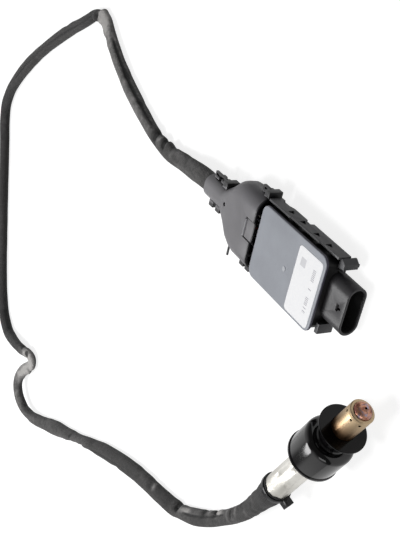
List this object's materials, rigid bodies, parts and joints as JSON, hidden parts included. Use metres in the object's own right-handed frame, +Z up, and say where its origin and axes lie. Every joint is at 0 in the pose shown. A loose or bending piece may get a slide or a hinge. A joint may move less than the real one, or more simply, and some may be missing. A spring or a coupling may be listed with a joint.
{
  "type": "nitrogen oxide sensor",
  "caption": "Vehicle exhaust gas sensor: a flat electronics unit with a plug socket, a limp sleeved cable and a probe under a glossy protective cap.",
  "frame": {"origin": "on the flat underside of the control unit, under the middle of its lid", "axes": "+Z up through the lid, +Y from the plug socket towards the cable outlet, +X to the unit's right"},
  "size_m": [0.4581, 0.6558, 0.0341],
  "materials": {
    "lid_sheet": "fine matt grey coat on a pressed sheet",
    "label_film": "satin white film",
    "tray_plastic": "glass-filled moulding, fine grain",
    "gasket_rubber": "soft matt",
    "board_laminate": "solder-masked laminate",
    "chip_epoxy": "moulded epoxy",
    "capacitor_can": "bright can",
    "terminal_metal": "tinned crimp block",
    "pin_metal": "bright blade",
    "carrier_plastic": "glass-filled moulding, fine grain",
    "hood_plastic": "moulded polyamide, fine grain",
    "seal_rubber": "soft matt",
    "wire_jacket": "smooth fluoropolymer jacket",
    "sleeve_braid": "dark glass-fibre braid, matt",
    "cap_plastic": "glossy black moulding",
    "body_steel": "turned stainless steel",
    "washer_steel": "folded steel ring",
    "sheath_steel": "drawn tube, polished",
    "outer_tube_steel": "warm heat-tinted stainless steel",
    "inner_tube_steel": "drawn stainless steel",
    "ceramic": "fired steatite",
    "packing_powder": "pressed talc",
    "element_ceramic": "layered zirconia strip",
    "tie_plastic": "moulded polyamide"
  },
  "bodies": {
    "root": {"unit_lid": "lid_sheet", "rating_label": "label_film", "housing_tray": "tray_plastic", "lid_gasket": "gasket_rubber", "circuit_board": "board_laminate", "board_chips": "chip_epoxy", "board_capacitors": "capacitor_can", "wire_terminals": "terminal_metal", "connector_pin_1": "pin_metal", "connector_pin_2": "pin_metal", "connector_pin_3": "pin_metal", "connector_pin_4": "pin_metal", "connector_pin_5": "pin_metal", "carrier_frame": "carrier_plastic", "hood_cover": "hood_plastic", "hood_base": "hood_plastic", "wire_seal": "seal_rubber", "lead_wires": "wire_jacket", "neck_collar": "seal_rubber", "cable_sleeve": "sleeve_braid", "thread_guard": "cap_plastic", "sensor_body": "body_steel", "seal_ring": "washer_steel", "sheath_tube": "sheath_steel", "outer_protection_tube": "outer_tube_steel", "inner_protection_tube": "inner_tube_steel", "ceramic_bush_rear": "ceramic", "ceramic_bush_front": "ceramic", "packing_ring": "packing_powder", "sensing_element": "element_ceramic", "contact_holder": "ceramic", "sheath_plug": "seal_rubber", "probe_wires": "wire_jacket", "cable_tie": "tie_plastic"}
  },
  "joints": []
}
